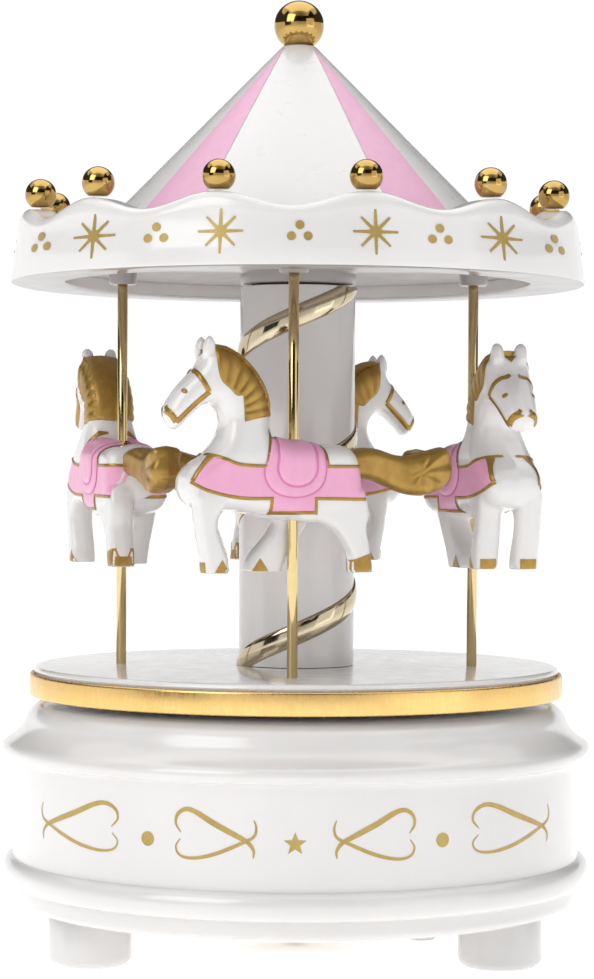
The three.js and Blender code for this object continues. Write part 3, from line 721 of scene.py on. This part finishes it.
TRIMS = [
    [(19.0, 83.2), (18.2, 84.6), (17.0, 86.0), (15.5, 87.4)],
    [(16.1, 87.7), (13.6, 86.8), (11.4, 86.0), (8.7, 85.75), (6.1, 85.7)],
    [(-3.9, 85.7), (-7.5, 85.7), (-11.0, 85.7)],
    [(19.2, 83.1), (18.6, 82.6), (17.1, 81.8), (14.3, 81.0), (11.4, 80.5), (8.7, 80.35), (5.4, 80.35)],
    [(5.7, 80.6), (5.7, 77.7)],
    [(6.0, 78.0), (-2.4, 78.0)],
    [(-2.1, 77.7), (-2.1, 80.6)],
    [(-1.8, 80.35), (-6.4, 80.3), (-11.0, 80.2)],
    [(5.1, 91.9), (5.9, 89.0), (6.6, 85.7)],
    [(-3.7, 89.9), (-3.9, 87.6), (-4.2, 85.7)],
]
FRONT_HOOF = [(14.2, 70.3), (15.5, 68.1), (12.9, 68.1)]
FAR_HIND_HOOF = [(5.4, 70.3), (6.9, 68.1), (3.9, 68.1)]
HIND_HOOF = [(-8.3, 69.9), (-12.2, 71.3), (-12.8, 68.1), (-8.2, 68.1)]
HOOF_FACE = [(-1.5, 68.1), (1.5, 68.1), (1.5, 69.8), (-1.5, 69.8)]


def pillow(outline, half, rounding, spacing=0.45, centre=0.0, thickness=None):
    """A closed form with the given side outline, rounded towards its edge."""
    flat, faces, depth = filled(outline, spacing)
    share = np.clip(depth / rounding, 0, 1)
    swell = half * (1 - (1 - share) ** 2.4) ** (1 / 2.4)
    if thickness:
        swell *= thickness(flat)
    top = np.stack([flat[:, 0], centre + swell, flat[:, 1]], 1)
    bottom = np.stack([flat[:, 0], centre - swell, flat[:, 1]], 1)
    count = len(flat)
    return np.vstack([top, bottom]), faces + [[count + i for i in reversed(face)] for face in faces]


def remeshed(mesh, voxel, smoothing):
    """One skin round overlapping forms, smoothed."""
    carrier = bpy.data.objects.new("carrier", mesh)
    bpy.context.collection.objects.link(carrier)
    skin = carrier.modifiers.new("skin", "REMESH")
    skin.mode = "VOXEL"
    skin.voxel_size = voxel
    relax = carrier.modifiers.new("relax", "SMOOTH")
    relax.iterations = smoothing
    relax.factor = 0.5
    seen = carrier.evaluated_get(bpy.context.evaluated_depsgraph_get())
    whole = bpy.data.meshes.new_from_object(seen)
    bpy.data.objects.remove(carrier)
    return whole


def parts_of(mesh):
    return [tuple(v.co) for v in mesh.vertices], [list(p.vertices) for p in mesh.polygons]


def horse_thickness(flat):
    """The barrel's full width, less at the neck and head, and least at the muzzle."""
    head = np.clip((flat[:, 1] - 87.5) / 6, 0, 1)
    muzzle = np.clip((flat[:, 0] - 15.5) / 7, 0, 1) * (flat[:, 1] > 89)
    chest = np.clip((flat[:, 0] - 12) / 8, 0, 1) * (1 - head)
    return 1 - 0.27 * head - 0.22 * muzzle - 0.12 * chest


def on_hooves(part):
    points, faces = part
    return [(x, y, max(z, HOOF)) for x, y, z in points], faces


def horse_body():
    side = HALF_THICK - LEG_HALF - 0.2
    back = lambda outline: [(x - FRONT_LEG_STEP, z) for x, z in outline]
    curve = lambda points: smooth_curve(points, 0.45, corner=62)
    legs = [(FRONT_LEG, side), (back(FRONT_LEG), -side), (HIND_LEG, side), (FAR_HIND_LEG, -side)]
    forms = [pillow(curve(HORSE_OUTLINE), HALF_THICK, 3.0, thickness=horse_thickness)]
    forms += [on_hooves(pillow(curve(leg), LEG_HALF, 1.3, centre=middle)) for leg, middle in legs]
    forms += [pillow(curve(EAR), 1.1, 0.8, 0.3, centre=middle) for middle in (2.2, -2.2)]
    return remeshed(joined("horse", forms), HORSE_GRAIN, HORSE_SMOOTHING)


def laid_on(skin, outline, aim, lift, spacing=0.4, height=None, depth=0.0):
    """A film or pad with the given outline, laid on the horse from the side that aim points to."""
    flat, faces, edge = filled(np.array(outline, float), spacing)
    rise = height(flat, edge) if height else np.zeros(len(flat))
    aim = Vector(aim)
    across = Vector((1, 0, 0)) if aim.y else Vector((0, 1, 0))
    points = []
    for (along, up), extra in zip(flat, rise):
        middle = across * along + Vector((0, 0, up))
        hit, normal, *_ = skin.ray_cast(middle + aim * 40, -aim, 40 - depth)
        if hit is None:
            hit, normal, *_ = skin.find_nearest(middle + aim * 1.2)
        points.append(tuple(hit + normal * (lift + extra)))
    return points, faces


def pad(height, rounding):
    """Raised by height, rounded down to its edge."""
    return lambda flat, edge: height * np.sqrt(1 - (1 - np.clip(edge / rounding, 0, 1)) ** 2)


def locks(flat, edge):
    """The mane's locks: shallow ridges that fan out from the throat."""
    angle = np.arctan2(flat[:, 1] - MANE_FAN[1], flat[:, 0] - MANE_FAN[0])
    return (0.12 + 0.16 * np.abs(np.sin(angle * 13))) * np.clip(edge / 0.3, 0, 1)


def crest():
    """The mane's ridge, wrapped over the neck from one side to the other."""
    thicker = lambda flat: horse_thickness(flat) * 1.03
    return pillow(smooth_curve(CREST, 0.3, corner=45), HALF_THICK, 3.0, 0.25, thickness=thicker)


def horse_patches(skin):
    """The painted and raised parts of both sides, by look."""
    curved = lambda points: smooth_curve(points, 0.4, corner=62)
    line = lambda points, width: stroke(smooth_curve(points, 0.4, closed=False, corner=70), width)
    gold, pink, deep = [crest(), horse_tail()], [], []
    for y in (1, -1):
        aim = (0, y, 0)
        gold.append(laid_on(skin, curved(MANE), aim, 0.05, 0.25, locks))
        for strap in (CHEEK_STRAP, JAW_STRAP, NOSE_STRAP):
            gold.append(laid_on(skin, line(strap, 0.85), aim, 0.07, 0.3, pad(0.14, 0.35)))
        for trim in TRIMS:
            gold.append(laid_on(skin, line(trim, 0.55), aim, 0.12, 0.3, pad(0.1, 0.25)))
        gold.append(laid_on(skin, disc(20.0, 98.0, 0.42, 16), aim, 0.06, 0.25, pad(0.1, 0.4)))
        front_hoof = [(x - (y < 0) * 2.4, z) for x, z in FRONT_HOOF]
        hooves = (front_hoof, HIND_HOOF, FAR_HIND_HOOF)
        gold += [laid_on(skin, curved(hoof), aim, 0.06, depth=-9) for hoof in hooves]
        pink.append(laid_on(skin, curved(BLANKET), aim, 0.07))
        pink.append(laid_on(skin, curved(SADDLE), aim, 0.05, 0.3, pad(0.5, 0.6)))
        pink.append(laid_on(skin, curved(SEAT), aim, 0.45, 0.3, pad(0.45, 0.7)))
        deep.append(laid_on(skin, line(SEAT, 0.6), aim, 0.62, 0.3))
        deep.append(laid_on(skin, line(SADDLE, 0.45), aim, 0.16, 0.3))
    hoof_faces = [((1, 0, 0), 3.25), ((1, 0, 0), -3.25), ((-1, 0, 0), 3.25)]
    for aim, middle in hoof_faces:
        gold.append(laid_on(skin, curved([(y + middle, z) for y, z in HOOF_FACE]), aim, 0.06))
    gold.append(laid_on(skin, curved([(-1.2, 105.0), (1.2, 105.0), (0, 103.9)]), (1, 0, 0), 0.06, 0.25))
    return {"gold_paint": gold, "pink": pink, "deep_pink": deep}


def horse_tail():
    """A tail that swells from a waist to a fan, with folds that spread to its end."""
    def folded(flat):
        fan = np.clip((-flat[:, 0] - 20) / 7, 0, 1)
        angle = np.arctan2(flat[:, 1] - 84.8, -22.5 - flat[:, 0])
        waist = np.exp(-(((flat[:, 0] + 18.5) / 4) ** 2))
        return 1 - 0.3 * waist - 0.16 * fan * (0.5 - 0.5 * np.cos(angle * 9))
    return pillow(smooth_curve(TAIL, 0.35, corner=50), 2.9, 1.9, 0.32, thickness=folded)


def make_horses():
    body = horse_body()
    skin = BVHTree.FromPolygons(*parts_of(body))
    first = math.radians(-90) + CAROUSEL_TURN
    stand = {"x": POLE_RING, "turn": math.radians(-90) + HORSE_YAW}
    white = joined("horses_look", [moved(parts_of(body), **stand)])
    names = numbered("horse", HORSES)
    ring("horses_look", white, HORSES, first, "carousel", "white", names, 80)
    for look, patches in horse_patches(skin).items():
        film = joined(f"horse_{look}", [moved(patch, **stand) for patch in patches])
        ring(f"horse_{look}", film, HORSES, first, "carousel", look, sharp=70)


# ---------------------------------------------------------------- camera, light and floor


def studio():
    """A white tent with dark strips in it, which give the gold and chrome their dark lines."""
    world = bpy.data.worlds.new("studio")
    world.use_nodes = True
    tree = world.node_tree
    nodes, links = tree.nodes, tree.links

    def step(operation, first, second):
        node = nodes.new("ShaderNodeMath")
        node.operation = operation
        for socket, value in zip(node.inputs, (first, second)):
            if isinstance(value, (int, float)):
                socket.default_value = value
            else:
                links.new(value, socket)
        return node.outputs[0]

    def within(value, low, high):
        return step("MULTIPLY", step("GREATER_THAN", value, low), step("LESS_THAN", value, high))

    def lobe(direction, sharpness):
        aim = nodes.new("ShaderNodeVectorMath")
        aim.operation = "DOT_PRODUCT"
        links.new(place_in_tent, aim.inputs[0])
        aim.inputs[1].default_value = Vector(direction).normalized()
        return step("POWER", step("MAXIMUM", aim.outputs["Value"], 0.0), sharpness)

    place_in_tent = nodes.new("ShaderNodeTexCoord").outputs["Generated"]
    split = nodes.new("ShaderNodeSeparateXYZ")
    links.new(place_in_tent, split.inputs[0])
    x, y, z = split.outputs
    sides = step("MULTIPLY", within(step("ABSOLUTE", x, 0), 0.6, 0.93), step("LESS_THAN", y, 0.0))
    dark = step("MAXIMUM", sides, within(z, 0.2, 0.6))
    front = step("MULTIPLY", lobe((0.1, -0.8, 0.6), 5), 0.85)
    shade = step("ADD", step("MULTIPLY", dark, 0.96), front)
    light = step("MAXIMUM", step("SUBTRACT", 1.02, shade), 0.02)
    links.new(light, nodes["Background"].inputs["Strength"])
    nodes["Background"].inputs["Color"].default_value = (1, 1, 1, 1)
    return world


# Metres, millimetres of lens and sensor, and degrees.
CAMERA_AT = (0, -0.495, 0.0855)
CAMERA_LENS, CAMERA_SENSOR, CAMERA_NEAR = 101.6, 36, 0.01
CAMERA_TILT, CAMERA_ROLL = 0.456, -0.28
LAMPS_AIM = (0, 0, 0.08)
LAMPS = (
    ("key", (-0.55, -0.6, 0.6), 3.0, 0.55),
    ("fill", (0.7, -0.5, 0.25), 1.2, 0.6),
    ("top", (0, 0.1, 0.9), 3.0, 1.0),
)
FLOOR = 3.0


def make_stage():
    camera = bpy.data.cameras.new("camera")
    camera.lens = CAMERA_LENS
    camera.sensor_width = CAMERA_SENSOR
    camera.clip_start = CAMERA_NEAR
    eye = bpy.data.objects.new("camera", camera)
    eye.location = CAMERA_AT
    eye.rotation_euler = (math.radians(90 - CAMERA_TILT), math.radians(CAMERA_ROLL), 0)
    bpy.context.collection.objects.link(eye)
    bpy.context.scene.camera = eye
    bpy.context.scene.view_settings.view_transform = "Standard"
    bpy.context.scene.world = studio()
    for name, where, power, size in LAMPS:
        lamp = bpy.data.lights.new(name, "AREA")
        lamp.energy = power
        lamp.size = size
        light = bpy.data.objects.new(name, lamp)
        light.location = where
        aim = Vector(LAMPS_AIM) - light.location
        light.rotation_mode = "QUATERNION"
        light.rotation_quaternion = aim.to_track_quat("-Z", "Y")
        bpy.context.collection.objects.link(light)
    floor_mesh = bpy.data.meshes.new("floor")
    corners = [(FLOOR * x, FLOOR * y, 0) for x, y in ((-1, -1), (1, -1), (1, 1), (-1, 1))]
    floor_mesh.from_pydata(corners, [], [[0, 1, 2, 3]])
    floor = bpy.data.objects.new("floor", floor_mesh)
    pale = Shader("pale_floor")
    pale.surface_values(
        Base_Color=(0.93, 0.93, 0.93, 1), Roughness=0.8, Emission_Color=(1, 1, 1, 1), Emission_Strength=0.5
    )
    floor_mesh.materials.append(pale.material)
    bpy.context.collection.objects.link(floor)


# ---------------------------------------------------------------- winding key, under the base

KEY_WING = (11, 3.2)
KEY_EYE = (2.4, 1.6)
KEY_EYE_AT = 6.8
KEY_MIDDLE = 4.3
KEY_HALF = 0.9
KEY_HUB = 2.2


def key_wing(side):
    """Half of the key's grip: a rounded rim round an oval eye."""
    points, faces = [], []
    around, across = 96, 16
    for i in range(around):
        dx, dz = math.cos(TAU * i / around), math.sin(TAU * i / around)
        a = (dx / KEY_WING[0]) ** 2 + (dz / KEY_WING[1]) ** 2
        b = KEY_EYE_AT * dx / KEY_WING[0] ** 2
        c = (KEY_EYE_AT / KEY_WING[0]) ** 2 - 1
        outer = (-b + math.sqrt(b * b - a * c)) / a
        if dx < 0:
            outer = min(outer, (KEY_EYE_AT - KEY_HUB) / -dx)
        inner = 1 / math.hypot(dx / KEY_EYE[0], dz / KEY_EYE[1])
        for k in range(across):
            u, v = math.cos(TAU * k / across), math.sin(TAU * k / across)
            share = 0.5 + 0.5 * math.copysign(abs(u) ** 0.5, u)
            reach = inner + (outer - inner) * share
            y = KEY_HALF * math.copysign(abs(v) ** 0.5, v)
            points.append((side * (KEY_EYE_AT + reach * dx), y, KEY_MIDDLE + reach * dz))
            here, ahead = i * across, (i + 1) % around * across
            face = [here + k, ahead + k, ahead + (k + 1) % across, here + (k + 1) % across]
            faces.append(face[::side])
    return points, faces


def make_winding_key():
    hub = [*arc(1.9, 1.0, 0.3, 180, 270, 3), *arc(2.9, 1.3, 0.3, -90, 0, 3), *arc(2.9, 7.3, 0.3, 0, 90, 3)]
    hub += [(1.9, 7.6), (1.9, 1.3)]
    grip = joined("winding_key_look", [lathe(hub, 64), key_wing(1), key_wing(-1)])
    place("winding_key_look", grip, "winder", "brass", ["winding_key"])


# ---------------------------------------------------------------- the movement, kept as the frame has it

KEPT = {
    "brass": ["cylinder_bracket_inner", "cylinder_bracket_outer", "governor_frame", "spring_barrel",
              "music_cylinder", "governor_wheel"],
    "steel": ["winding_arbor", "bedplate", *numbered("bedplate_screw", 3), "comb", *numbered("comb_screw", 2),
              "mainspring", "drive_shaft", "tie_rod"],
    "nylon": ["turntable_bush", "governor_fan"],
}


def dress_movement():
    for look, nodes in KEPT.items():
        for node in nodes:
            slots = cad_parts[node].data.materials
            slots.clear()
            slots.append(LOOKS[look])


make_stage()
make_base()
make_base_print()
make_turntable()
make_column()
make_canopy()
make_canopy_print()
make_roof()
make_horses()
make_winding_key()
dress_movement()
